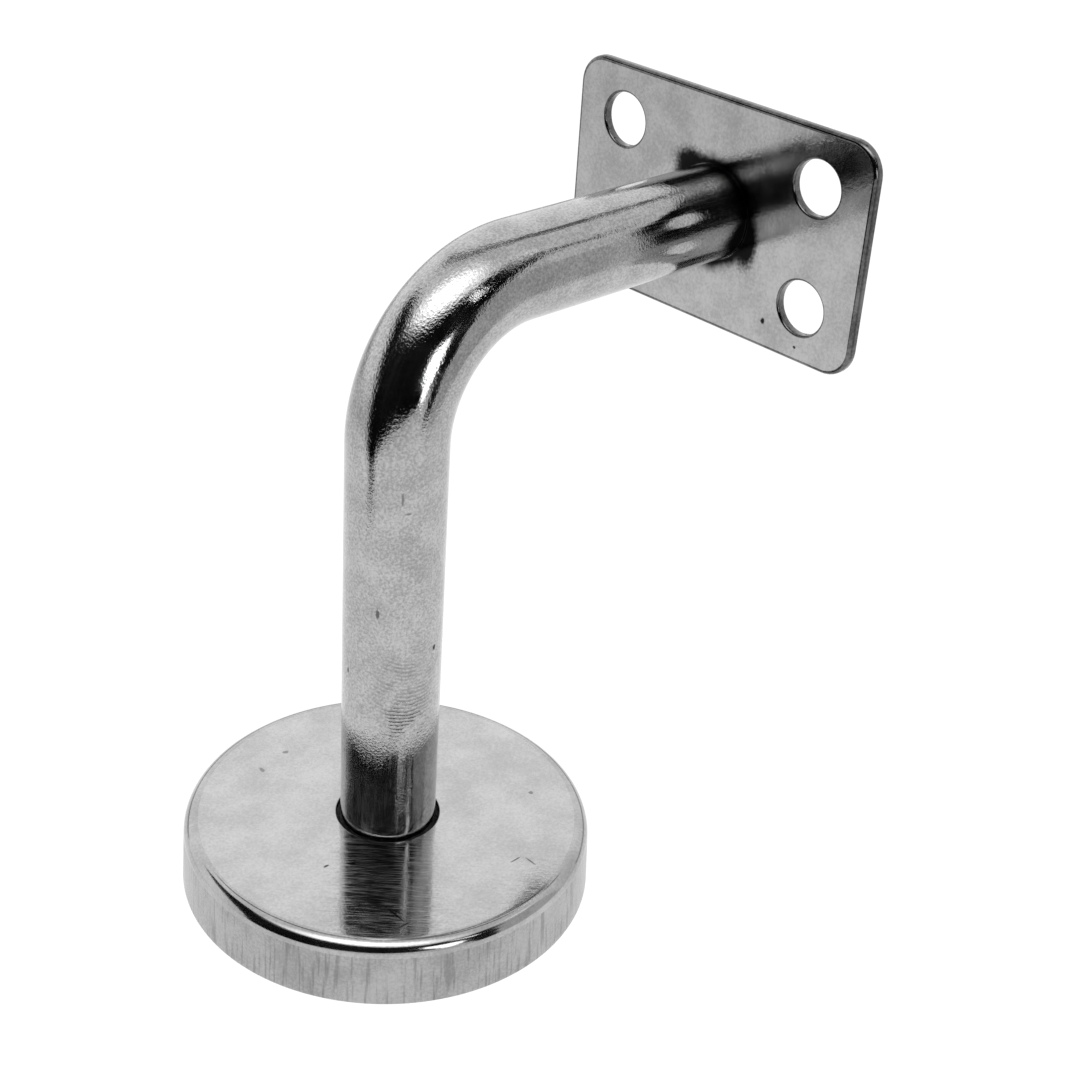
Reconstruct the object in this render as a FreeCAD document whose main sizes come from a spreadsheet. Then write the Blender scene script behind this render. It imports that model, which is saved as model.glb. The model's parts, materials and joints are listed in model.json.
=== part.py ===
import FreeCAD, Part
import math
import os
import Sketcher

# Handrail bracket: a bent round bar with a flat plate for the rail at its upper end, a screw flange
# at its foot and a loose pressed cover over the flange.
# Frame: origin at the centre of the flange's back face, on the wall. +Z runs out from the wall along
# the bar's stem, +X along the arm to the rail plate, Y along the plate's long side. Millimetres.

drivingSizes = {
    # bar
    "barDiameter": 12.0,
    "armHeight": 77.5,             # wall face to the arm's axis
    "armReach": 50.5,              # stem's axis to the plate's front face
    "bendRadius": 17.0,            # of the bar's centreline
    # rail plate
    "plateLength": 48.0,
    "plateWidth": 29.5,
    "plateThickness": 1.2,
    "plateCornerRadius": 4.0,
    "plateEdgeRound": 0.4,         # rolled edge that the punch leaves on the front
    "railHoleDiameter": 6.9,
    "railHoleEdgeLong": 8.25,      # hole's centre to the plate's short edge
    "railHoleEdgeShort": 7.125,    # hole's centre to the plate's long edge
    # cover
    "coverDiameter": 50.8,         # at the shoulder
    "coverFlare": 0.35,            # what the rim stands out past the shoulder, on the radius
    "coverHeight": 8.5,
    "coverSheet": 0.8,
    "coverShoulderRadius": 1.8,
    "coverHoleClearance": 0.5,     # around the bar, on the radius
    "coverHoleBevel": 0.2,
    # wall flange
    "flangeThickness": 3.0,
    "flangeCoverClearance": 1.6,   # flange's rim to the cover's wall, on the radius
    "flangeHoleDiameter": 5.5,
    "flangeHoleEdge": 6.0,         # hole's centre to the flange's rim
    "flangeHoleCount": 3,
    # welds
    "weldFitClearance": 0.1,       # bar in its holes before it is welded, on the radius
    "flangeWeldLeg": 2.5,
    "plateWeldDepth": 0.7,
}

doc = FreeCAD.newDocument("handrail_bracket")
sizes = doc.addObject("Spreadsheet::Sheet", "sizes")
for row, (alias, value) in enumerate(drivingSizes.items(), start=1):
    sizes.set(f"A{row}", alias)
    sizes.set(f"B{row}", str(value))
    sizes.setAlias(f"B{row}", alias)
doc.recompute()

# lengths that several pieces share, worked out in the sheet's own terms
barRadius = "sizes.barDiameter / 2"
weldHoleRadius = "(sizes.barDiameter / 2 + sizes.weldFitClearance)"
coverHoleRadius = "(sizes.barDiameter / 2 + sizes.coverHoleClearance)"
flangeRadius = "(sizes.coverDiameter / 2 - sizes.coverSheet - sizes.flangeCoverClearance)"
plateBack = "(sizes.armReach + sizes.plateThickness)"

# the numbers that a sketch gives an element's points
firstPoint, lastPoint, centrePoint = range(1, 4)
sketchOrigin = (-1, 1)
touching = 1e-4


def valueOf(formula):
    return float(sizes.evalExpression(formula))


def newBody(name):
    body = doc.addObject("PartDesign::Body", name)
    body.Label = name
    return body


def originPlane(body, role):
    return next(feature for feature in body.Origin.OriginFeatures if feature.Role == role)


def newSketch(body, name, role):
    sketch = body.newObject("Sketcher::SketchObject", name)
    sketch.AttachmentSupport = [(originPlane(body, role), "")]
    sketch.MapMode = "FlatFace"
    return sketch


def dimension(sketch, kind, where, formula):
    """A dimension of the sketch, bound to the sheet."""
    index = sketch.addConstraint(Sketcher.Constraint(kind, *where, valueOf(formula)))
    sketch.setExpression(f"Constraints[{index}]", formula)


def circle(sketch, radius, across="0", up="0"):
    """A circle whose radius and centre are bound to the sheet."""
    centre = FreeCAD.Vector(valueOf(across), valueOf(up), 0)
    element = sketch.addGeometry(Part.Circle(centre, FreeCAD.Vector(0, 0, 1), valueOf(radius)))
    dimension(sketch, "Radius", (element,), radius)
    if (across, up) == ("0", "0"):
        sketch.addConstraint(Sketcher.Constraint("Coincident", element, centrePoint, *sketchOrigin))
    else:
        dimension(sketch, "DistanceX", (*sketchOrigin, element, centrePoint), across)
        dimension(sketch, "DistanceY", (*sketchOrigin, element, centrePoint), up)


def polygon(sketch, corners):
    """A closed outline through corners, each an (across, up) pair bound to the sheet."""
    points = [FreeCAD.Vector(valueOf(across), valueOf(up), 0) for across, up in corners]
    lines = [
        sketch.addGeometry(Part.LineSegment(start, end))
        for start, end in zip(points, points[1:] + points[:1])
    ]
    for line, following in zip(lines, lines[1:] + lines[:1]):
        sketch.addConstraint(Sketcher.Constraint("Coincident", line, lastPoint, following, firstPoint))
    for line, (across, up) in zip(lines, corners):
        dimension(sketch, "DistanceX", (*sketchOrigin, line, firstPoint), across)
        dimension(sketch, "DistanceY", (*sketchOrigin, line, firstPoint), up)
    return lines


def edgesWhere(feature, test):
    """Names of the feature's edges that pass the test."""
    return [f"Edge{n}" for n, edge in enumerate(feature.Shape.Edges, start=1) if test(edge)]


def addFeature(body, kind, name, **settings):
    """A PartDesign feature. A setting that is text is a formula of the sheet's sizes."""
    feature = body.newObject(f"PartDesign::{kind}", name)
    for setting, value in settings.items():
        if isinstance(value, str) and "sizes." in value:
            feature.setExpression(setting, value)
        else:
            setattr(feature, setting, value)
    doc.recompute()
    return feature


def cutThrough(body, name, sketch):
    """A pocket right through the body, both ways from the sketch's plane."""
    before = body.Shape.Volume
    pocket = addFeature(body, "Pocket", name, Profile=sketch, Type="ThroughAll", Midplane=True)
    if body.Shape.Volume > before - touching:
        raise RuntimeError(f"{name} cuts nothing")
    return pocket


def makeArmRod():
    """Solid round bar, bent once to a right angle. Its far end is bevelled for the plate's weld."""
    body = newBody("arm_rod")
    path = newSketch(body, "rodPath", "XZ_Plane")
    height, radius = valueOf("sizes.armHeight"), valueOf("sizes.bendRadius")
    end, bendStart = valueOf(plateBack), height - radius
    bendCircle = Part.Circle(FreeCAD.Vector(radius, bendStart, 0), FreeCAD.Vector(0, 0, 1), radius)
    stem = path.addGeometry(
        Part.LineSegment(FreeCAD.Vector(0, 0, 0), FreeCAD.Vector(0, bendStart, 0)))
    bend = path.addGeometry(
        Part.ArcOfCircle(bendCircle, math.pi / 2, math.pi))
    arm = path.addGeometry(
        Part.LineSegment(FreeCAD.Vector(radius, height, 0), FreeCAD.Vector(end, height, 0)))
    path.addConstraint([
        Sketcher.Constraint("Coincident", stem, firstPoint, *sketchOrigin),
        Sketcher.Constraint("Vertical", stem),
        Sketcher.Constraint("Horizontal", arm),
        Sketcher.Constraint("Tangent", stem, lastPoint, bend, lastPoint),
        Sketcher.Constraint("Tangent", bend, firstPoint, arm, firstPoint),
    ])
    dimension(path, "Radius", (bend,), "sizes.bendRadius")
    dimension(path, "DistanceX", (*sketchOrigin, arm, lastPoint), plateBack)
    dimension(path, "DistanceY", (*sketchOrigin, arm, lastPoint), "sizes.armHeight")

    section = newSketch(body, "rodSection", "XY_Plane")
    circle(section, barRadius)
    doc.recompute()
    sweep = addFeature(body, "AdditivePipe", "rodSweep", Profile=section, Spine=(path, [""]))

    def atPlate(edge):
        return edge.CenterOfMass.x > valueOf(plateBack) - touching

    addFeature(body, "Chamfer", "weldBevel", Base=(sweep, edgesWhere(sweep, atPlate)),
               Size="sizes.plateWeldDepth")
    return body


def makeRailPlate():
    """Punched plate with four screw holes for the rail and a hole that the bar's end stands in."""
    body = newBody("rail_plate")
    body.setExpression(".Placement.Base.x", "sizes.armReach")
    body.setExpression(".Placement.Base.z", "sizes.armHeight")
    halfLength, halfWidth = "sizes.plateLength / 2", "sizes.plateWidth / 2"
    outline = newSketch(body, "plateOutline", "YZ_Plane")
    polygon(outline, [
        (f"-{halfLength}", f"-{halfWidth}"), (halfLength, f"-{halfWidth}"),
        (halfLength, halfWidth), (f"-{halfLength}", halfWidth),
    ])
    blank = addFeature(body, "Pad", "plateBlank", Profile=outline, Length="sizes.plateThickness")

    def atCorner(edge):
        return abs(edge.BoundBox.XLength - valueOf("sizes.plateThickness")) < touching

    corners = addFeature(body, "Fillet", "plateCorners", Base=(blank, edgesWhere(blank, atCorner)),
                         Radius="sizes.plateCornerRadius")

    def onFront(edge):
        return edge.BoundBox.XMax < touching

    addFeature(body, "Fillet", "plateEdge", Base=(corners, edgesWhere(corners, onFront)),
               Radius="sizes.plateEdgeRound")

    holes = newSketch(body, "railHoleCentres", "YZ_Plane")
    fromMiddle = f"({halfLength} - sizes.railHoleEdgeLong)"
    fromAxis = f"({halfWidth} - sizes.railHoleEdgeShort)"
    for across in (f"-{fromMiddle}", fromMiddle):
        for up in (f"-{fromAxis}", fromAxis):
            circle(holes, "sizes.railHoleDiameter / 2", across, up)
    cutThrough(body, "railHoles", holes)

    seat = newSketch(body, "rodSeatCentre", "YZ_Plane")
    circle(seat, weldHoleRadius)
    rodSeat = cutThrough(body, "rodSeat", seat)

    def seatBack(edge):
        box = edge.BoundBox
        roundSeat = abs(box.YLength - 2 * valueOf(weldHoleRadius)) < touching
        return roundSeat and box.XMin > valueOf("sizes.plateThickness") - touching

    addFeature(body, "Chamfer", "weldBevel", Base=(rodSeat, edgesWhere(rodSeat, seatBack)),
               Size="sizes.plateWeldDepth")
    return body


def makeFlangeCover():
    """Cup pressed from sheet: a flared wall, a round shoulder and a hole that slides on the bar."""
    body = newBody("flange_cover")
    section = newSketch(body, "sheetSection", "XZ_Plane")
    shoulderRadius = "(sizes.coverDiameter / 2)"
    rimRadius = f"({shoulderRadius} + sizes.coverFlare)"
    underside = "(sizes.coverHeight - sizes.coverSheet)"
    polygon(section, [
        (rimRadius, "0"), (shoulderRadius, "sizes.coverHeight"),
        (coverHoleRadius, "sizes.coverHeight"), (coverHoleRadius, underside),
        (f"({shoulderRadius} - sizes.coverSheet)", underside),
        (f"({rimRadius} - sizes.coverSheet)", "0"),
    ])
    cup = addFeature(body, "Revolution", "cup", Profile=section, ReferenceAxis=(section, ["V_Axis"]),
                     Angle=360)

    def ringAt(radiusFormula, heightFormula):
        radius, height = valueOf(radiusFormula), valueOf(heightFormula)

        def test(edge):
            box = edge.BoundBox
            flat = abs(box.ZMin - height) < touching and abs(box.ZMax - height) < touching
            return flat and abs(box.XMax - radius) < touching
        return test

    innerCorner = ringAt(f"({shoulderRadius} - sizes.coverSheet)", underside)
    # the straight inner corner that touches a round one of the sheet's own thickness
    corner = addFeature(body, "Chamfer", "innerCorner", Base=(cup, edgesWhere(cup, innerCorner)),
                        Size="(2 - sqrt(2)) * (sizes.coverShoulderRadius - sizes.coverSheet)")
    lip = ringAt(coverHoleRadius, "sizes.coverHeight")
    bevel = addFeature(body, "Chamfer", "coverHoleLip", Base=(corner, edgesWhere(corner, lip)),
                       Size="sizes.coverHoleBevel")
    shoulder = ringAt(shoulderRadius, "sizes.coverHeight")
    addFeature(body, "Fillet", "cupShoulder", Base=(bevel, edgesWhere(bevel, shoulder)),
               Radius="sizes.coverShoulderRadius")
    return body


def makeWallFlange():
    """Flat disc that the bar's foot is welded into, with a ring of screw holes for the wall."""
    body = newBody("wall_flange")
    outline = newSketch(body, "flangeOutline", "XY_Plane")
    circle(outline, flangeRadius)
    addFeature(body, "Pad", "flangeBlank", Profile=outline, Length="sizes.flangeThickness")
    seat = newSketch(body, "rodSeatCentre", "XY_Plane")
    circle(seat, weldHoleRadius)
    cutThrough(body, "rodSeat", seat)
    screw = newSketch(body, "screwHoleCentre", "XY_Plane")
    circle(screw, "sizes.flangeHoleDiameter / 2", "0", f"({flangeRadius} - sizes.flangeHoleEdge)")
    hole = cutThrough(body, "screwHole", screw)
    ring = addFeature(body, "PolarPattern", "screwHoles", Originals=[hole],
                      Axis=(originPlane(body, "Z_Axis"), [""]), Angle=360,
                      Occurrences="sizes.flangeHoleCount")
    body.Tip = ring
    return body


def makeFlangeWeld():
    """Fillet bead round the bar's foot, on the flange's front face."""
    body = newBody("flange_weld")
    section = newSketch(body, "beadSection", "XZ_Plane")
    polygon(section, [
        (barRadius, "sizes.flangeThickness"),
        (f"({barRadius} + sizes.flangeWeldLeg)", "sizes.flangeThickness"),
        (barRadius, "(sizes.flangeThickness + sizes.flangeWeldLeg)"),
    ])
    addFeature(body, "Revolution", "bead", Profile=section, ReferenceAxis=(section, ["V_Axis"]),
               Angle=360)
    return body


def makePlateWeld():
    """Weld that fills the groove between the bar's end and the plate, ground flush with the back."""
    body = newBody("plate_weld")
    body.setExpression(".Placement.Base.x", plateBack)
    body.setExpression(".Placement.Base.z", "sizes.armHeight")
    section = newSketch(body, "grooveSection", "XZ_Plane")
    depth = "sizes.plateWeldDepth"
    polygon(section, [
        ("0", f"({barRadius} - {depth})"), ("0", f"({weldHoleRadius} + {depth})"),
        (f"-{depth}", weldHoleRadius), (f"-{depth}", barRadius),
    ])
    addFeature(body, "Revolution", "groove", Profile=section, ReferenceAxis=(section, ["H_Axis"]),
               Angle=360)
    return body


bodies = [
    makeArmRod(), makeRailPlate(), makeFlangeCover(), makeWallFlange(), makeFlangeWeld(),
    makePlateWeld(),
]
doc.recompute()

failed = [item.Name for item in doc.Objects if {"Invalid", "Error"} & set(item.State)]
badShapes = [body.Label for body in bodies if body.Shape.isNull() or not body.Shape.isValid()]
if failed or badShapes:
    raise RuntimeError(f"failed features {failed}, bad shapes {badShapes}")

os.makedirs("parts", exist_ok=True)
for body in bodies:
    shape = body.Shape
    shape.exportStep(f"parts/{body.Label}.step")
    box = shape.optimalBoundingBox()
    print(f"{body.Label}: {len(shape.Solids)} solid, {shape.Volume:.1f} mm3, "
          f"x {box.XMin:.2f} to {box.XMax:.2f}, y {box.YMin:.2f} to {box.YMax:.2f}, "
          f"z {box.ZMin:.2f} to {box.ZMax:.2f}")
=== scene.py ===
import bpy
import bmesh
import json
from math import atan2, cos, pi, radians, sin, tan
from mathutils import Matrix, Vector


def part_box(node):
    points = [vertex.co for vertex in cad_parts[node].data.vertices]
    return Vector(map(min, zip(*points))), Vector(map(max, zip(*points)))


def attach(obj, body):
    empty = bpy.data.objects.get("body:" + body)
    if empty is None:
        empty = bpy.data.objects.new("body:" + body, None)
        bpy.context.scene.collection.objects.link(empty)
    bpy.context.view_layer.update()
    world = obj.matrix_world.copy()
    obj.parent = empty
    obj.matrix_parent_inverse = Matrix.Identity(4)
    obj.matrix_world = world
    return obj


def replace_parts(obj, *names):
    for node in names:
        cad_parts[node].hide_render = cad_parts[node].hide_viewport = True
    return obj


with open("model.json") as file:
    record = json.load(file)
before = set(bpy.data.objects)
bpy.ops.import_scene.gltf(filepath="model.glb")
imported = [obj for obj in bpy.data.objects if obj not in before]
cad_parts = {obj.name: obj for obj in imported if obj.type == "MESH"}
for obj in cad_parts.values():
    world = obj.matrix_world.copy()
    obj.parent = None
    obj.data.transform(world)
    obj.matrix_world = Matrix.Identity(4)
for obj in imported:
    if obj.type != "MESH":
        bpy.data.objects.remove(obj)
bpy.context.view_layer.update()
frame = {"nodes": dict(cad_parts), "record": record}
nodes = frame["nodes"]
mounts = {mount["name"]: mount for mount in frame["record"]["mounts"]}
mm = 0.001
print("frame loaded:", len(nodes), "CAD nodes")


def linearColour(hexCode):
    channels = [int(hexCode[n:n + 2], 16) / 255 for n in (1, 3, 5)]
    return [c / 12.92 if c <= 0.04045 else ((c + 0.055) / 1.055) ** 2.4 for c in channels] + [1.0]


def newPiece(name, mesh, body, *materials):
    for material in materials:
        mesh.materials.append(material)
    mesh.shade_smooth()
    piece = bpy.data.objects.new(name, mesh)
    bpy.context.scene.collection.objects.link(piece)
    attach(piece, body)
    return piece


def ringMesh(name, rings, capped=False):
    # skins equal rings of points in turn
    count = len(rings[0])
    vertices = [point for ring in rings for point in ring]
    faces = [
        (row * count + n, row * count + (n + 1) % count,
         (row + 1) * count + (n + 1) % count, (row + 1) * count + n)
        for row in range(len(rings) - 1) for n in range(count)
    ]
    if capped:
        faces.append(tuple(reversed(range(count))))
        faces.append(tuple(range(len(vertices) - count, len(vertices))))
    mesh = bpy.data.meshes.new(name)
    mesh.from_pydata(vertices, [], faces)
    return mesh


def circleRing(centre, across, up, radius, count):
    return [
        centre + across * (radius * cos(2 * pi * n / count)) + up * (radius * sin(2 * pi * n / count))
        for n in range(count)
    ]


def arc(centre, radius, start, end, steps):
    angles = [radians(start + (end - start) * n / steps) for n in range(steps + 1)]
    return [(centre[0] + radius * cos(a), centre[1] + radius * sin(a)) for a in angles]


def between(start, end, steps):
    # points from start up to end, end left out
    return [
        tuple(s + (e - s) * n / steps for s, e in zip(start, end))
        for n in range(steps)
    ]


def newMaterial(name):
    material = bpy.data.materials.new(name)
    material.use_nodes = True
    return material, material.node_tree


def addNode(tree, kind, settings=None, inputs=()):
    # an input that is a socket is linked, any other is set
    node = tree.nodes.new("ShaderNode" + kind)
    for key, value in (settings or {}).items():
        setattr(node, key, value)
    for key, value in inputs.items() if isinstance(inputs, dict) else enumerate(inputs):
        if isinstance(value, bpy.types.NodeSocket):
            tree.links.new(value, node.inputs[key])
        else:
            node.inputs[key].default_value = value
    return node


def colourStops(ramp, stops):
    elements = ramp.color_ramp.elements
    elements.remove(elements[-1])
    elements[0].position, elements[0].color = stops[0][0], linearColour(stops[0][1])
    for place, hexCode in stops[1:]:
        elements.new(place).color = linearColour(hexCode)


# where the noise patterns start and end, out of 0 to 1
patchEdges, toneEdges, roughEdges = (0.38, 0.6), (0.33, 0.67), (0.35, 0.65)
noiseRoughness, markSoftness = 0.6, 0.3

# Bright drawn stainless bar: the die leaves fine lines along it and tumbling leaves a lively grain, so that
# it mirrors its surroundings with broken, sparkling edges. Handling leaves a fingerprint and a few nicks.
drawnBar = {
    "colours": ("#989898", "#C2C2C2"), "cloud": 4 * mm, "cloudShare": 0.35,
    "roughness": (0.05, 0.11), "lineRoughness": 0.07, "lineEdges": (0.50, 0.66),
    "grain": 0.3 * mm, "grainDepth": 0.040 * mm, "grainPatch": 7 * mm, "calm": 0.12, "rough": 0.65,
    # the outside of the bend is stretched to an orange peel: lengths along the bar, and how far out
    "peel": ((56 * mm, 66 * mm), (92 * mm, 76 * mm)), "peelSide": (-3.0 * mm, -4.8 * mm), "peelDepth": 0.9,
    "lineSpacing": 0.35 * mm, "lineLength": 9 * mm, "lineDepth": 0.008 * mm, "lineTurn": 0,
    # place, size across and along, colour
    "marks": (
        ((1.5 * mm, -5.8 * mm, 35.4 * mm), (0.22 * mm, 0.22 * mm, 0.36 * mm), "#101010"),
        ((-5.1 * mm, -3.2 * mm, 41.2 * mm), (0.2 * mm, 0.2 * mm, 0.7 * mm), "#646464"),
        ((-3.3 * mm, -5.0 * mm, 56.5 * mm), (0.16 * mm, 0.16 * mm, 0.8 * mm), "#808080"),
        ((-2.7 * mm, -5.4 * mm, 54.6 * mm), (0.4 * mm, 0.4 * mm, 0.14 * mm), "#848484"),
        ((-5.9 * mm, 1.0 * mm, 31.7 * mm), (0.2 * mm, 0.2 * mm, 0.4 * mm), "#5A5A5A"),
    ),
    # place, size, softness, colour: heat tint by the weld, darkened further as a painted reflection of the dark joint
    # on the bar's end
    "stainsAndPaintedShade": (((51.7 * mm, 0, 77.5 * mm), (4.5 * mm, 16 * mm, 16 * mm), 0.45, "#7E7E7E"),),
    "print": (-2.2 * mm, -5.6 * mm, 30.5 * mm), "printSize": (3.6 * mm, 3.6 * mm, 6.5 * mm),
    "printMiddle": (-1.5 * mm, -5.8 * mm, 42 * mm), "ridge": 0.5 * mm, "ridgeDepth": 0.02 * mm,
    "printWorn": 2.5 * mm, "printShare": 0.6, "printColour": "#7A7A7A",
}

# Cold-rolled stainless sheet, pressed: satin, softly clouded from the annealing. The rolling lines scatter
# light, which shows as pale streaks where the sheet mirrors something dark.
pressedSheet = {
    "colours": ("#B0B0B0", "#C8C8C8"), "cloud": 7 * mm, "cloudShare": 0.6,
    "roughness": (0.07, 0.10), "lineRoughness": 0.16, "lineEdges": (0.46, 0.62),
    "grain": 0.35 * mm, "grainDepth": 0.005 * mm, "grainPatch": 5 * mm, "calm": 0.3, "rough": 1.0,
    "lineSpacing": 0.11 * mm, "lineLength": 2.5 * mm, "lineDepth": 0.003 * mm, "lineTurn": -44,
    "marks": (
        ((-12.8 * mm, -3.7 * mm, 8.5 * mm), (0.35 * mm, 0.16 * mm, 0.3 * mm), "#4A4A4A"),
        ((-2.6 * mm, 17.8 * mm, 8.5 * mm), (0.4 * mm, 0.3 * mm, 0.3 * mm), "#8C8C8C"),
        ((-7.3 * mm, 16.6 * mm, 8.5 * mm), (0.3 * mm, 0.5 * mm, 0.3 * mm), "#8C8C8C"),
        ((5.8 * mm, -17.5 * mm, 8.5 * mm), (0.9 * mm, 0.09 * mm, 0.3 * mm), "#5A5A5A"),
        ((7.0 * mm, -18.9 * mm, 8.5 * mm), (0.09 * mm, 0.8 * mm, 0.3 * mm), "#5A5A5A"),
        ((-12.0 * mm, -15.8 * mm, 8.5 * mm), (0.12 * mm, 1.6 * mm, 0.3 * mm), "#505050"),
        ((-12.4 * mm, -17.8 * mm, 8.5 * mm), (0.9 * mm, 0.12 * mm, 0.3 * mm), "#505050"),
        ((16.5 * mm, -9.0 * mm, 8.5 * mm), (0.3 * mm, 0.3 * mm, 0.3 * mm), "#848484"),
    ),
    "stainsAndPaintedShade": (),
}

# The same sheet, punched flat and left as it came from the welder: brighter, mottled, with soot round the
# joint.
punchedSheet = {
    **pressedSheet,
    "colours": ("#A0A0A0", "#BEBEBE"), "cloud": 5 * mm, "cloudShare": 0.6,
    "roughness": (0.10, 0.16), "lineRoughness": 0.0,
    "grain": 0.4 * mm, "grainDepth": 0.012 * mm, "grainPatch": 3 * mm,
    "lineDepth": 0.002 * mm, "lineTurn": 0,
    "marks": (
        ((50.5 * mm, -10.3 * mm, 66.3 * mm), (0.3 * mm, 0.3 * mm, 0.4 * mm), "#202020"),
        ((50.5 * mm, -15.7 * mm, 64.7 * mm), (0.3 * mm, 0.2 * mm, 0.2 * mm), "#3A3A3A"),
    ),
    "stainsAndPaintedShade": (
        ((50.5 * mm, 3.9 * mm, 82.6 * mm), (1.0 * mm, 2.6 * mm, 2.0 * mm), 0.4, "#1C1C1C"),
        ((50.5 * mm, -6.2 * mm, 75.4 * mm), (1.0 * mm, 1.7 * mm, 3.4 * mm), 0.35, "#161616"),
    ),
}


eased = {"interpolation_type": "SMOOTHSTEP"}  # a MapRange node's inputs: value, from, from, to, to
multiply, add, largest = {"operation": "MULTIPLY"}, {"operation": "ADD"}, {"operation": "MAXIMUM"}
multiplyAdd, subtract, divide = {"operation": "MULTIPLY_ADD"}, {"operation": "SUBTRACT"}, {"operation": "DIVIDE"}
length, alongside = {"operation": "LENGTH"}, {"operation": "DOT_PRODUCT"}


def inSpot(tree, place, centre, size, soft, ragged=None):
    # 1 inside an oval, 0 outside
    offset = addNode(tree, "VectorMath", subtract, (place, centre)).outputs["Vector"]
    scaled = addNode(tree, "VectorMath", divide, (offset, size)).outputs["Vector"]
    reach = addNode(tree, "VectorMath", length, (scaled,)).outputs["Value"]
    if ragged is not None:
        reach = addNode(tree, "Math", add, (reach, ragged)).outputs[0]
    return addNode(tree, "MapRange", eased, (reach, 1 + soft, 1 - soft)).outputs[0]


def metalMaterial(name, values, drawn=None):
    material, tree = newMaterial(name)
    shader = tree.nodes["Principled BSDF"]
    place = addNode(tree, "TexCoord").outputs["Object"]
    patterns = {}
    for key, detail in (("cloud", 5.0), ("grain", 2.0), ("grainPatch", 1.0)):
        inputs = {"Vector": place, "Scale": 1 / values[key], "Detail": detail, "Roughness": noiseRoughness}
        patterns[key] = addNode(tree, "TexNoise", inputs=inputs).outputs["Fac"]
    cloud, grain, share = patterns["cloud"], patterns["grain"], values["cloudShare"]
    patchy = addNode(tree, "MapRange", eased,
                     (patterns["grainPatch"], *patchEdges, values["calm"], values["rough"])).outputs[0]
    graining = addNode(tree, "Math", multiply, (grain, 1 - share)).outputs[0]
    mixed = addNode(tree, "Math", multiplyAdd, (cloud, share, graining)).outputs[0]
    tone = addNode(tree, "MapRange", eased, (mixed, *toneEdges)).outputs[0]
    ramp = addNode(tree, "ValToRGB", inputs=(tone,))
    colourStops(ramp, [(0.0, values["colours"][0]), (1.0, values["colours"][1])])
    colour = ramp.outputs["Color"]
    ragged = addNode(tree, "Math", multiplyAdd, (grain, 1.0, -0.5)).outputs[0]
    # ragged edge for the stains, which also shapes the painted reflection on the bar's end
    grimy = addNode(tree, "Math", multiply, (ragged, 0.5)).outputs[0]
    spots = [(centre, size, markSoftness, hexCode, ragged) for centre, size, hexCode in values["marks"]]
    spots += [(centre, size, soft, hexCode, grimy) for centre, size, soft, hexCode in values["stainsAndPaintedShade"]]
    for centre, size, soft, hexCode, edge in spots:
        spot = inSpot(tree, place, centre, size, soft, edge)
        colour = addNode(tree, "MixRGB", inputs=(spot, colour, linearColour(hexCode))).outputs["Color"]
    # lines along the drawing or rolling direction
    long, fine = 1 / values["lineLength"], 1 / values["lineSpacing"]
    if drawn:
        along = addNode(tree, "Attribute", {"attribute_name": drawn}).outputs["Vector"]
        stretch = (fine, fine, long)
    else:
        turn = (0, 0, radians(-values["lineTurn"]))
        along = addNode(tree, "Mapping", inputs={"Rotation": turn, "Vector": place}).outputs["Vector"]
        stretch = (long, fine, fine)
    stretched = addNode(tree, "Mapping", inputs={"Scale": stretch, "Vector": along}).outputs["Vector"]
    inputs = {"Vector": stretched, "Scale": 1.0, "Detail": 2.0, "Roughness": noiseRoughness}
    lines = addNode(tree, "TexNoise", inputs=inputs).outputs["Fac"]
    rough = addNode(tree, "MapRange", eased, (cloud, *roughEdges, *values["roughness"])).outputs[0]
    if values["lineRoughness"]:
        dull = (lines, *values["lineEdges"], 0.0, values["lineRoughness"])
        dull = addNode(tree, "MapRange", eased, dull).outputs[0]
        rough = addNode(tree, "Math", add, (rough, dull)).outputs[0]
    if "peel" in values:
        parts = addNode(tree, "SeparateXYZ", inputs=(along,)).outputs
        begins, stops = (addNode(tree, "MapRange", eased, (parts["Z"], *ends)).outputs[0] for ends in values["peel"])
        peel = addNode(tree, "Math", multiply, (begins, stops)).outputs[0]
        outer = (parts["X"], *values["peelSide"], 0.0, values["peelDepth"])
        outer = addNode(tree, "MapRange", eased, outer).outputs[0]
        peel = addNode(tree, "Math", multiply, (peel, outer)).outputs[0]
        patchy = addNode(tree, "Math", largest, (patchy, peel)).outputs[0]
    relief = addNode(tree, "Math", multiply, (grain, patchy)).outputs[0]
    bump = addNode(tree, "Bump", inputs={"Distance": values["lineDepth"], "Height": lines}).outputs["Normal"]
    bump = addNode(tree, "Bump", inputs={"Distance": values["grainDepth"], "Height": relief, "Normal": bump})
    shader.inputs["Metallic"].default_value = 1.0
    tree.links.new(rough, shader.inputs["Roughness"])
    return material, tree, shader, place, colour, bump.outputs["Normal"]


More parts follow.
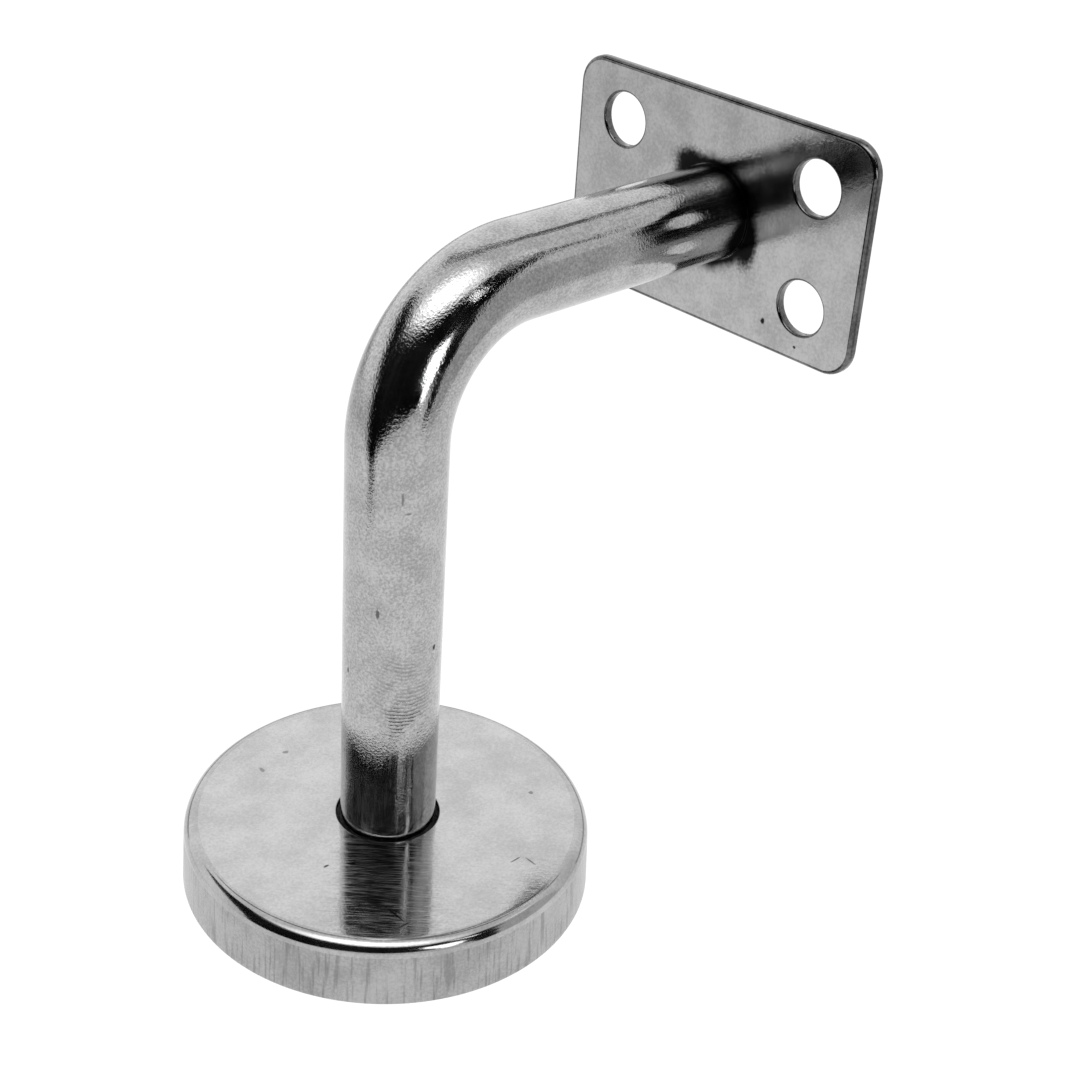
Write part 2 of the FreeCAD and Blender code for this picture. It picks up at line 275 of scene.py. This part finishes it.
def makeBarSteel(values):
    material, tree, shader, place, colour, normal = metalMaterial("drawn stainless bar", values, "drawn")
    # the print's ridges leave faint grease, dull and a little darker
    offset = addNode(tree, "VectorMath", subtract, (place, values["printMiddle"])).outputs["Vector"]
    waves = {"Vector": offset, "Scale": 0.314 / values["ridge"], "Distortion": 3.2, "Detail": 2.0, "Detail Scale": 0.8}
    rings = {"wave_type": "RINGS", "rings_direction": "SPHERICAL"}
    ridges = addNode(tree, "TexWave", rings, waves).outputs["Fac"]
    worn = addNode(tree, "TexNoise", inputs={"Scale": 1 / values["printWorn"], "Vector": place}).outputs["Fac"]
    worn = addNode(tree, "MapRange", eased, (worn, 0.35, 0.55)).outputs[0]
    oval = inSpot(tree, place, values["print"], values["printSize"], 0.35)
    greasy = addNode(tree, "Math", multiply, (oval, worn)).outputs[0]
    printed = addNode(tree, "Math", multiply, (ridges, greasy)).outputs[0]
    dulled = addNode(tree, "Math", multiply, (printed, values["printShare"])).outputs[0]
    grease = linearColour(values["printColour"])
    colour = addNode(tree, "MixRGB", inputs=(dulled, colour, grease)).outputs["Color"]
    bump = addNode(tree, "Bump", inputs={"Distance": values["ridgeDepth"], "Height": printed, "Normal": normal})
    tree.links.new(colour, shader.inputs["Base Color"])
    tree.links.new(bump.outputs["Normal"], shader.inputs["Normal"])
    return material


def makeSheetSteel(name, values, joint=None):
    material, tree, shader, place, colour, normal = metalMaterial(name, values)
    if joint:
        # soot and heat tint round the weld
        ragged = addNode(tree, "TexNoise", inputs={"Scale": 1 / joint["ragged"], "Detail": 3.0, "Vector": place})
        uneven = (ragged.outputs["Fac"], joint["unevenness"], -joint["unevenness"] / 2)
        uneven = addNode(tree, "Math", multiplyAdd, uneven).outputs[0]
        size = (1.0, joint["radius"], joint["radius"])
        soot = inSpot(tree, place, joint["centre"], size, joint["soft"], uneven)
        colour = addNode(tree, "MixRGB", inputs=(soot, colour, linearColour(joint["colour"]))).outputs["Color"]
    tree.links.new(colour, shader.inputs["Base Color"])
    tree.links.new(normal, shader.inputs["Normal"])
    return material


# The cover's wall: the die drags the sheet upwards and leaves upright lines, some of them deep. The wall's colours are
# painted darker than the top's, and the deeper lines darker still: painted shade.
drawnWall = {
    # colours darker than the top's: painted shade on the wall
    **pressedSheet, "colours": ("#989898", "#B6B6B6"), "roughness": (0.2, 0.3), "lineRoughness": 0.0,
    "lineSpacing": 0.3 * mm, "lineLength": 6 * mm, "lineDepth": 0.02 * mm, "marks": (), "stainsAndPaintedShade": (),
    "groove": (0.5, 0.34), "grooveShare": 0.4, "grooveShadeColour": "#5E5E5E",
}


def makeWallSteel(values):
    material, tree, shader, place, colour, normal = metalMaterial("deep-drawn stainless wall", values)
    upright = (1 / values["lineSpacing"], 1 / values["lineSpacing"], 1 / values["lineLength"])
    stretched = addNode(tree, "Mapping", inputs={"Scale": upright, "Vector": place}).outputs["Vector"]
    drag = {"Scale": 0.6, "Detail": 3.0, "Vector": stretched}
    drag = addNode(tree, "TexNoise", inputs=drag).outputs["Fac"]
    # the deeper drag lines are painted darker: painted shade
    shade = addNode(tree, "MapRange", eased, (drag, *values["groove"], 0.0, values["grooveShare"])).outputs[0]
    groove = linearColour(values["grooveShadeColour"])
    colour = addNode(tree, "MixRGB", inputs=(shade, colour, groove)).outputs["Color"]
    bump = addNode(tree, "Bump", inputs={"Distance": values["lineDepth"], "Height": drag, "Normal": normal})
    tree.links.new(colour, shader.inputs["Base Color"])
    tree.links.new(bump.outputs["Normal"], shader.inputs["Normal"])
    return material


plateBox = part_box("rail_plate")
weldHalo = {
    "centre": (plateBox[0].x, 0, (plateBox[0].z + plateBox[1].z) / 2), "radius": 7.2 * mm, "soft": 0.12,
    "ragged": 1.5 * mm, "unevenness": 0.22, "colour": "#141414",
}
barSteel = makeBarSteel(drawnBar)
coverSteel = makeSheetSteel("cold-rolled stainless sheet", pressedSheet)
# the die's corner rubs the shoulder smooth; its colours, darker than the top's, are painted shade on the shoulder
shoulderSteel = makeSheetSteel("die-polished sheet corner", {**pressedSheet, "colours": ("#A2A2A2", "#BEBEBE"),
                                                            "roughness": (0.11, 0.15), "lineRoughness": 0.0,
                                                            "lineDepth": 0.0005 * mm, "grainDepth": 0.003 * mm})
wallSteel = makeWallSteel(drawnWall)
plateSteel = makeSheetSteel("punched stainless sheet", punchedSheet, weldHalo)
flangeSteel = makeSheetSteel("mill-finish stainless plate",
                             {**punchedSheet, "roughness": (0.3, 0.42), "marks": (), "stainsAndPaintedShade": ()})
# weld metal: rippled, matt, straw to blue-grey from the heat
weldSteel = makeSheetSteel("stainless weld bead", {**punchedSheet, "colours": ("#5C5B5A", "#9C9A98"),
                                                  "cloud": 1.4 * mm, "roughness": (0.25, 0.45), "marks": (), "stainsAndPaintedShade": ()})
# the sheet's edges and hole walls are painted much darker than its faces: painted shade
edgeSteel = makeSheetSteel("sheet edge painted in shade", {**punchedSheet, "colours": ("#4A4A4A", "#7C7C7C"),
                                               "marks": (), "stainsAndPaintedShade": ()})
print("materials made")


bar = {"bendRadius": 17 * mm, "around": 128, "bendSteps": 72, "straightSteps": 24, "bevel": 0.7 * mm, "sharp": 35}


def makeBar(values):
    low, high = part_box("arm_rod")
    radius, end = -low.y, high.x
    armAxis, bend, steps = high.z - radius, values["bendRadius"], values["straightSteps"]
    stemTop, bevelStart = armAxis - bend, end - values["bevel"]
    stations = [(Vector((0, 0, stemTop * n / steps)), Vector((1, 0, 0)), radius) for n in range(steps)]
    for n in range(values["bendSteps"] + 1):
        turn = pi / 2 * n / values["bendSteps"]
        inwards = Vector((cos(turn), 0, -sin(turn)))
        stations.append((Vector((bend, 0, stemTop)) - inwards * bend, inwards, radius))
    for n in range(1, steps + 1):
        x = bend + (bevelStart - bend) * n / steps
        stations.append((Vector((x, 0, armAxis)), Vector((0, 0, -1)), radius))
    stations.append((Vector((end, 0, armAxis)), Vector((0, 0, -1)), radius - values["bevel"]))
    side, around = Vector((0, 1, 0)), values["around"]
    rings = [circleRing(centre, inwards, side, size, around) for centre, inwards, size in stations]
    mesh = ringMesh("bent_bar", rings, capped=True)
    # where each point was on the straight bar, so that the draw lines follow the bend
    drawn = mesh.attributes.new("drawn", "FLOAT_VECTOR", "POINT")
    run, before = 0, stations[0][0]
    for row, (centre, inwards, size) in enumerate(stations):
        run += (centre - before).length
        before = centre
        for n in range(around):
            turn = 2 * pi * n / around
            drawn.data[row * around + n].vector = (size * cos(turn), size * sin(turn), run)
    piece = newPiece("bent_bar", mesh, "bracket", barSteel)
    piece.modifiers.new("flat ends", "WEIGHTED_NORMAL").keep_sharp = True
    mesh.set_sharp_from_angle(angle=radians(values["sharp"]))
    return piece


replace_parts(makeBar(bar), "arm_rod")
print("bar made")


cover = {
    "sheet": 0.8 * mm, "flare": 0.35 * mm, "shoulder": 1.8 * mm, "holeRadius": 6.5 * mm, "lip": 0.18 * mm,
    "rimRound": 0.12 * mm, "around": 256,
}


def makeCover(values):
    low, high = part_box("flange_cover")
    rim, height = high.x, high.z
    sheet, lip, rimRound, hole = (values[key] for key in ("sheet", "lip", "rimRound", "holeRadius"))
    lean = atan2(values["flare"], height)
    leanDegrees = lean * 180 / pi
    # the round shoulder touches the leaning wall and the flat top
    centre = (rim - values["flare"] - values["shoulder"] * tan((pi / 2 - lean) / 2), height - values["shoulder"])
    outside = arc(centre, values["shoulder"], leanDegrees, 90, 20)
    inside = arc(centre, values["shoulder"] - sheet, 90, leanDegrees, 12)
    lipStart = (hole + lip, height)
    profile = [(rim - sheet + rimRound, 0.0), (rim - rimRound, 0.0), (rim - rimRound * 0.3, rimRound * 0.3)]
    profile += between((rim, rimRound), outside[0], 14)
    topRow = len(profile)
    profile += outside[:-1] + between(outside[-1], lipStart, 12)
    profile += arc((lipStart[0], height - lip), lip, 90, 180, 10)
    profile += between((hole, height - sheet), inside[0], 12) + inside
    profile += [(rim - sheet, rimRound)]
    rings = [
        circleRing(Vector((0, 0, z)), Vector((1, 0, 0)), Vector((0, 1, 0)), r, values["around"])
        for r, z in profile + profile[:1]
    ]
    mesh = ringMesh("pressed_cover", rings)
    piece = newPiece("pressed_cover", mesh, "cover", coverSteel, wallSteel, shoulderSteel)
    for face in mesh.polygons:
        row = face.index // values["around"]
        if row < topRow + len(outside) - 1:
            face.material_index = 1 if row < topRow else 2
    return piece


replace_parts(makeCover(cover), "flange_cover")
print("cover made")


plate = {"corner": 4 * mm, "frontRoll": 0.55 * mm, "backRoll": 0.12 * mm, "holeRoll": 0.3 * mm,
         "seatClearance": 0.1 * mm, "seatRoll": 0.05 * mm, "weldDepth": 0.7 * mm, "sharp": 35}


def roundedRectangle(halfLength, halfWidth, corner, steps=10):
    points = []
    for quarter, (ySign, zSign) in enumerate(((1, 1), (-1, 1), (-1, -1), (1, -1))):
        centre = (ySign * (halfLength - corner[0]), zSign * (halfWidth - corner[0]))
        points += arc(centre, corner[1], 90 * quarter, 90 * quarter + 90, steps)
    return points


def makePlate(values):
    low, high = plateBox
    middle = (low + high) / 2
    dims = mounts["rail_screws"]["dims"]
    halfY, halfZ = (dims[key] * mm / 2 for key in ("spacing_x_mm", "spacing_y_mm"))
    seatRadius = -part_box("arm_rod")[0].y + values["seatClearance"]
    corner, holeRadius = values["corner"], dims["hole_r_mm"] * mm
    bm = bmesh.new()
    faceEdges = {"front": [], "back": []}

    def punch(outlineAt, frontRoll, backRoll):
        # skins one edge of the sheet from the back face to the front one; a hole's edge rolls outwards
        levels = [(high.x, backRoll), (high.x - backRoll * 0.3, backRoll * 0.3), (high.x - backRoll, 0.0)]
        if backRoll >= values["weldDepth"]:
            levels = [(high.x, backRoll), (high.x - backRoll, 0.0)]
        levels += [(low.x + frontRoll * (1 - sin(radians(a))), frontRoll * (1 - cos(radians(a))))
                   for a in range(0, 91, 10)]
        rows = [[bm.verts.new((x, middle.y + y, middle.z + z)) for y, z in outlineAt(inset)] for x, inset in levels]
        count = len(rows[0])
        for lower, upper in zip(rows, rows[1:]):
            for n in range(count):
                face = bm.faces.new((lower[n], lower[(n + 1) % count], upper[(n + 1) % count], upper[n]))
                face.material_index = 1
        for side, row in (("back", rows[0]), ("front", rows[-1])):
            faceEdges[side] += [bm.edges.get((row[n], row[(n + 1) % count])) for n in range(count)]

    punch(lambda inset: roundedRectangle((high.y - low.y) / 2, (high.z - low.z) / 2, (corner, corner - inset)),
          values["frontRoll"], values["backRoll"])
    for y in (-halfY, halfY):
        for z in (-halfZ, halfZ):
            punch(lambda inset: arc((y, z), holeRadius + inset, 0, 352.5, 47), values["holeRoll"],
                  values["backRoll"])
    punch(lambda inset: arc((0, 0), seatRadius + inset, 0, 356.25, 95), values["seatRoll"], values["weldDepth"])
    for edges in faceEdges.values():
        bmesh.ops.triangle_fill(bm, edges=edges, use_beauty=True)
    bmesh.ops.recalc_face_normals(bm, faces=bm.faces)
    mesh = bpy.data.meshes.new("rail_plate_sheet")
    bm.to_mesh(mesh)
    bm.free()
    piece = newPiece("rail_plate_sheet", mesh, "bracket", plateSteel, edgeSteel)
    # keeps the flat faces' own direction up to the rolled edges
    mesh.set_sharp_from_angle(angle=radians(values["sharp"]))
    piece.modifiers.new("flat faces", "WEIGHTED_NORMAL").keep_sharp = True
    return piece


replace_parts(makePlate(plate), "rail_plate")
print("plate made")


weldBead = {"ripple": 1.3 * mm, "rippleDepth": 0.22 * mm, "bulge": 0.5, "around": 360, "steps": 10}


def makeWeldBead(values):
    # a rounded bead; each ripple is a small step, bowed like a fish scale
    low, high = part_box("flange_weld")
    barRadius = -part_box("arm_rod")[0].y
    leg = high.x - barRadius
    ripples = round(2 * pi * (barRadius + leg / 2) / values["ripple"])
    rings = []
    for n in range(values["around"]):
        turn = 2 * pi * n / values["around"]
        ring = [Vector((barRadius * cos(turn), barRadius * sin(turn), low.z))]
        for step in range(values["steps"] + 1):
            share = step / values["steps"]
            straight = (1 - share, share)
            curved = (cos(share * pi / 2), sin(share * pi / 2))
            across, up = (f + (c - f) * values["bulge"] for f, c in zip(straight, curved))
            phase = (n / values["around"] * ripples + sin(share * pi) * 0.6) % 1
            sink = values["rippleDepth"] * phase * sin(share * pi) ** 0.5
            r = barRadius + leg * across - sink * 0.7
            z = low.z + leg * up - sink * 0.7 * (share > 0)
            ring.append(Vector((r * cos(turn), r * sin(turn), max(z, low.z))))
        rings.append(ring)
    mesh = ringMesh("weld_bead", rings + rings[:1])
    return newPiece("weld_bead", mesh, "bracket", weldSteel)


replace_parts(makeWeldBead(weldBead), "flange_weld")
for name, material in (("wall_flange", flangeSteel), ("plate_weld", weldSteel)):
    nodes[name].data.materials.clear()
    nodes[name].data.materials.append(material)
print("welds and flange made")


# Bearings are in degrees from the camera's side of the object, positive to the camera's right hand.
studio = {
    "azimuth": -45.86, "elevation": 29.73, "roll": 4.04, "distance": 0.2330, "lens": 62.4,
    "aim": (21.92 * mm, -2.07 * mm, 41.17 * mm),
    "middle": (8 * mm, 0, 0),
    # the paper's glow as the metal mirrors it is a painted pool of light, brightest near the object and fading
    # outwards
    "world": (0.82, 1.18), "brightest": 205, "paper": (1.04, 0.78), "paintedPoolFades": (0.04, 0.36), "floorShare": 0.95,
    "tentEdges": (-0.2, 1.0), "burnt": 1.06, "paperColour": "#F4F4F4", "paperRoughness": 0.9,
    "floorHalf": 4.0, "floorLevel": -0.05 * mm, "ceiling": 0.456,
}


def makeCamera(values):
    a, e, roll = (radians(values[key]) for key in ("azimuth", "elevation", "roll"))
    back = Vector((sin(a) * cos(e), -cos(a) * cos(e), sin(e)))
    right = Vector((0, 0, 1)).cross(back).normalized()
    up = back.cross(right)
    across = right * cos(roll) + up * sin(roll)
    upright = up * cos(roll) - right * sin(roll)
    camera = bpy.data.objects.new("camera", bpy.data.cameras.new("camera"))
    camera.data.lens = values["lens"]
    camera.data.sensor_width = 36
    camera.data.clip_start = 0.01
    turn = Matrix((across, upright, back)).transposed().to_4x4()
    camera.matrix_world = Matrix.Translation(Vector(values["aim"]) + back * values["distance"]) @ turn
    bpy.context.scene.collection.objects.link(camera)
    bpy.context.scene.camera = camera
    return Vector((back.x, back.y, 0)).normalized()


def makeWorld(values):
    # white to the camera; the metal sees a tent, whitest on the far side
    world = bpy.data.worlds.new("studio")
    bpy.context.scene.world = world
    world.use_nodes = True
    tree = world.node_tree
    place = addNode(tree, "TexCoord").outputs["Generated"]
    bearing = radians(values["azimuth"] - 90 + values["brightest"])
    facing = addNode(tree, "VectorMath", alongside, (place, (cos(bearing), sin(bearing), 0))).outputs["Value"]
    strength = addNode(tree, "MapRange", eased, (facing, *values["tentEdges"], *values["world"])).outputs[0]
    tent = tree.nodes["Background"]
    tent.inputs["Color"].default_value = (1, 1, 1, 1)
    tree.links.new(strength, tent.inputs["Strength"])
    white = addNode(tree, "Background", inputs={"Color": (1, 1, 1, 1), "Strength": 1.0})
    seen = addNode(tree, "LightPath").outputs["Is Camera Ray"]
    mix = addNode(tree, "MixShader", inputs=(seen, tent.outputs[0], white.outputs[0]))
    tree.links.new(mix.outputs[0], tree.nodes["World Output"].inputs["Surface"])


def stagePiece(name, vertices, faces, material):
    mesh = bpy.data.meshes.new(name)
    mesh.from_pydata(vertices, [], faces)
    mesh.materials.append(material)
    piece = bpy.data.objects.new(name, mesh)
    bpy.context.scene.collection.objects.link(piece)
    return piece


def makeFloor(values):
    # white paper; the glow the metal mirrors in it is a painted pool of light, strongest near the object; it burns out
    # to white for the camera but keeps the shadow
    material, tree = newMaterial("white paper")
    paper = tree.nodes["Principled BSDF"]
    paper.inputs["Base Color"].default_value = linearColour(values["paperColour"])
    paper.inputs["Roughness"].default_value = values["paperRoughness"]
    path = addNode(tree, "LightPath").outputs
    place = addNode(tree, "TexCoord").outputs["Object"]
    away = addNode(tree, "VectorMath", length, (place,)).outputs["Value"]
    # painted pool of light: the glow fades with distance from the object
    emitted = addNode(tree, "MapRange", eased, (away, *values["paintedPoolFades"], *values["paper"])).outputs[0]
    camera = path["Is Camera Ray"]
    lacking = addNode(tree, "Math", subtract, (values["burnt"], emitted)).outputs[0]
    burnt = addNode(tree, "Math", multiply, (lacking, camera)).outputs[0]
    strength = addNode(tree, "Math", add, (emitted, burnt)).outputs[0]
    glow = addNode(tree, "Emission", inputs={"Color": (1, 1, 1, 1), "Strength": strength})
    mirrored = addNode(tree, "Math", largest, (path["Is Glossy Ray"], path["Is Transmission Ray"])).outputs[0]
    seen = addNode(tree, "Math", largest, (camera, mirrored)).outputs[0]
    share = addNode(tree, "Math", multiply, (seen, values["floorShare"])).outputs[0]
    mix = addNode(tree, "MixShader", inputs=(share, paper.outputs[0], glow.outputs[0]))
    tree.links.new(mix.outputs[0], tree.nodes["Material Output"].inputs["Surface"])
    half, level = values["floorHalf"], values["floorLevel"]
    corners = [(-half, -half, level), (half, -half, level), (half, half, level), (-half, half, level)]
    return stagePiece("floor", corners, [(0, 1, 2, 3)], material)


def cardMaterial(name, hexCode, strength=1.0):
    material, tree = newMaterial(name)
    glow = addNode(tree, "Emission", inputs={"Color": linearColour(hexCode), "Strength": strength})
    tree.links.new(glow.outputs[0], tree.nodes["Material Output"].inputs["Surface"])
    return material


def onlyMirrored(card):
    card.visible_camera = card.visible_diffuse = card.visible_shadow = False
    return card


def makeCard(name, material, *edges):
    # a curved card that stands round the object, from its lowest edge to its highest; an edge is its left and
    # right bearings, distance and height
    towards, middle, columns = radians(studio["azimuth"] - 90), Vector(studio["middle"]), 36
    vertices = []
    for left, right, distance, height in edges:
        for column in range(columns + 1):
            bearing = towards + radians(left + (right - left) * column / columns)
            vertices.append((middle.x + cos(bearing) * distance, middle.y + sin(bearing) * distance, height))
    across = columns + 1
    faces = [
        (row * across + n, row * across + n + 1, (row + 1) * across + n + 1, (row + 1) * across + n)
        for row in range(len(edges) - 1) for n in range(columns)
    ]
    return onlyMirrored(stagePiece(name, vertices, faces, material))


def overhead(right, towards, height=None):
    # a point in the ceiling, from its distances to the camera's right and towards it
    forward = towardsCamera
    side = Vector((-forward.y, forward.x, 0))
    return (Vector(studio["middle"]) + side * right + forward * towards
            + Vector((0, 0, studio["ceiling"] if height is None else height)))


def makeRibbon(name, material, centres, width):
    # a flat bent strip in the ceiling
    points = [Vector(centre) for centre in centres]
    vertices = []
    for n, point in enumerate(points):
        run = (points[min(n + 1, len(points) - 1)] - points[max(n - 1, 0)]).normalized()
        sideways = Vector((-run.y, run.x)) * width / 2
        vertices += [overhead(*(point + sideways)), overhead(*(point - sideways))]
    faces = [(2 * n, 2 * n + 1, 2 * n + 3, 2 * n + 2) for n in range(len(points) - 1)]
    return onlyMirrored(stagePiece(name, vertices, faces, material))


def makeGlow(name, centre, reach, strength, soft):
    # a lit patch of the tent that fades out towards its edge
    material, tree = newMaterial(name)
    place = addNode(tree, "TexCoord").outputs["Object"]
    patch = inSpot(tree, place, (0, 0, 0), (reach[0], reach[1], 1.0), soft)
    patch = addNode(tree, "Math", multiply, (patch, strength)).outputs[0]
    emitted = addNode(tree, "Emission", inputs={"Color": (1, 1, 1, 1), "Strength": patch})
    both = addNode(tree, "AddShader", inputs=(emitted.outputs[0], addNode(tree, "BsdfTransparent").outputs[0]))
    tree.links.new(both.outputs[0], tree.nodes["Material Output"].inputs["Surface"])
    x, y = (side * (1 + soft) for side in reach)
    card = stagePiece(name, [(-x, -y, 0), (x, -y, 0), (x, y, 0), (-x, y, 0)], [(0, 1, 2, 3)], material)
    card.location = overhead(*centre)
    card.rotation_euler = (0, 0, radians(studio["azimuth"]))
    return onlyMirrored(card)


def addSoftbox(name, place, size, radiance):
    lamp = bpy.data.lights.new(name, "AREA")
    lamp.shape = "ELLIPSE"
    lamp.size, lamp.size_y = size
    lamp.energy = radiance * pi * pi / 4 * size[0] * size[1]
    box = bpy.data.objects.new(name, lamp)
    box.location = place
    box.rotation_euler = (0, 0, radians(studio["azimuth"]))
    bpy.context.scene.collection.objects.link(box)


towardsCamera = makeCamera(studio)
makeWorld(studio)
makeFloor(studio)
black = cardMaterial("black velvet", "#101010")
darkGrey = cardMaterial("dark grey cloth", "#707070")
grey = cardMaterial("grey wall", "#C8C8C8")
dim = cardMaterial("dim wall", "#B0B0B0")
white = cardMaterial("window", "#FFFFFF", 3.0)
for name, (material, edges) in {
    "dark_screen": (black, (
        (-56, -47, 0.118, 2 * mm), (-62, -32, 0.215, 4 * mm), (-64, -12, 0.22, 0.030), (-65, 22, 0.22, 0.046),
        (-66, 60, 0.24, 0.060), (-72, 61, 0.38, 0.125), (-76, 65, 0.48, 0.205), (-92, 82, 0.56, 0.356),
        (-118, 100, 0.56, 0.410), (-118, 100, 0.54, 0.500), (-97, 82, 0.46, 0.580))),
    "dark_screen_right": (black, ((47, 58, 0.20, 2 * mm), (43, 60, 0.22, 0.060))),
    "window_strip": (white, (
        (31, 36, 0.21, 0.046), (26, 41, 0.21, 0.075), (22, 43, 0.21, 0.100), (23, 41, 0.21, 0.140))),
    "lamp_spot": (white, ((53, 58, 0.40, 0.312), (43, 48, 0.40, 0.450))),
    "far_wall": (dim, ((120, 240, 0.50, 2 * mm), (120, 240, 0.50, 0.07))),
    "grey_screen": (grey, ((58, 96, 0.15, 2 * mm), (62, 96, 0.15, 0.120))),
}.items():
    makeCard(name, material, *edges)
makeRibbon("ceiling_bar", darkGrey, [(-0.26, -0.33), (-0.18, -0.21), (-0.10, -0.145), (0, -0.115), (0.08, -0.12),
                                     (0.15, -0.15), (0.205, -0.21), (0.255, -0.28), (0.28, -0.36)], 0.055)
# place, reach, strength and softness
makeGlow("tent_glow", (-0.05, 0.17), (0.25, 0.13), 1.6, 0.65)
makeGlow("tent_glow_right", (0.46, 0.02), (0.14, 0.10), 0.7, 0.5)
# one lamp, high in front, for the shadow on the floor
addSoftbox("softbox", overhead(-0.04, 0.17, 0.50), (0.34, 0.17), 1.0)
print("studio made")

bpy.context.scene.view_settings.view_transform = "Standard"
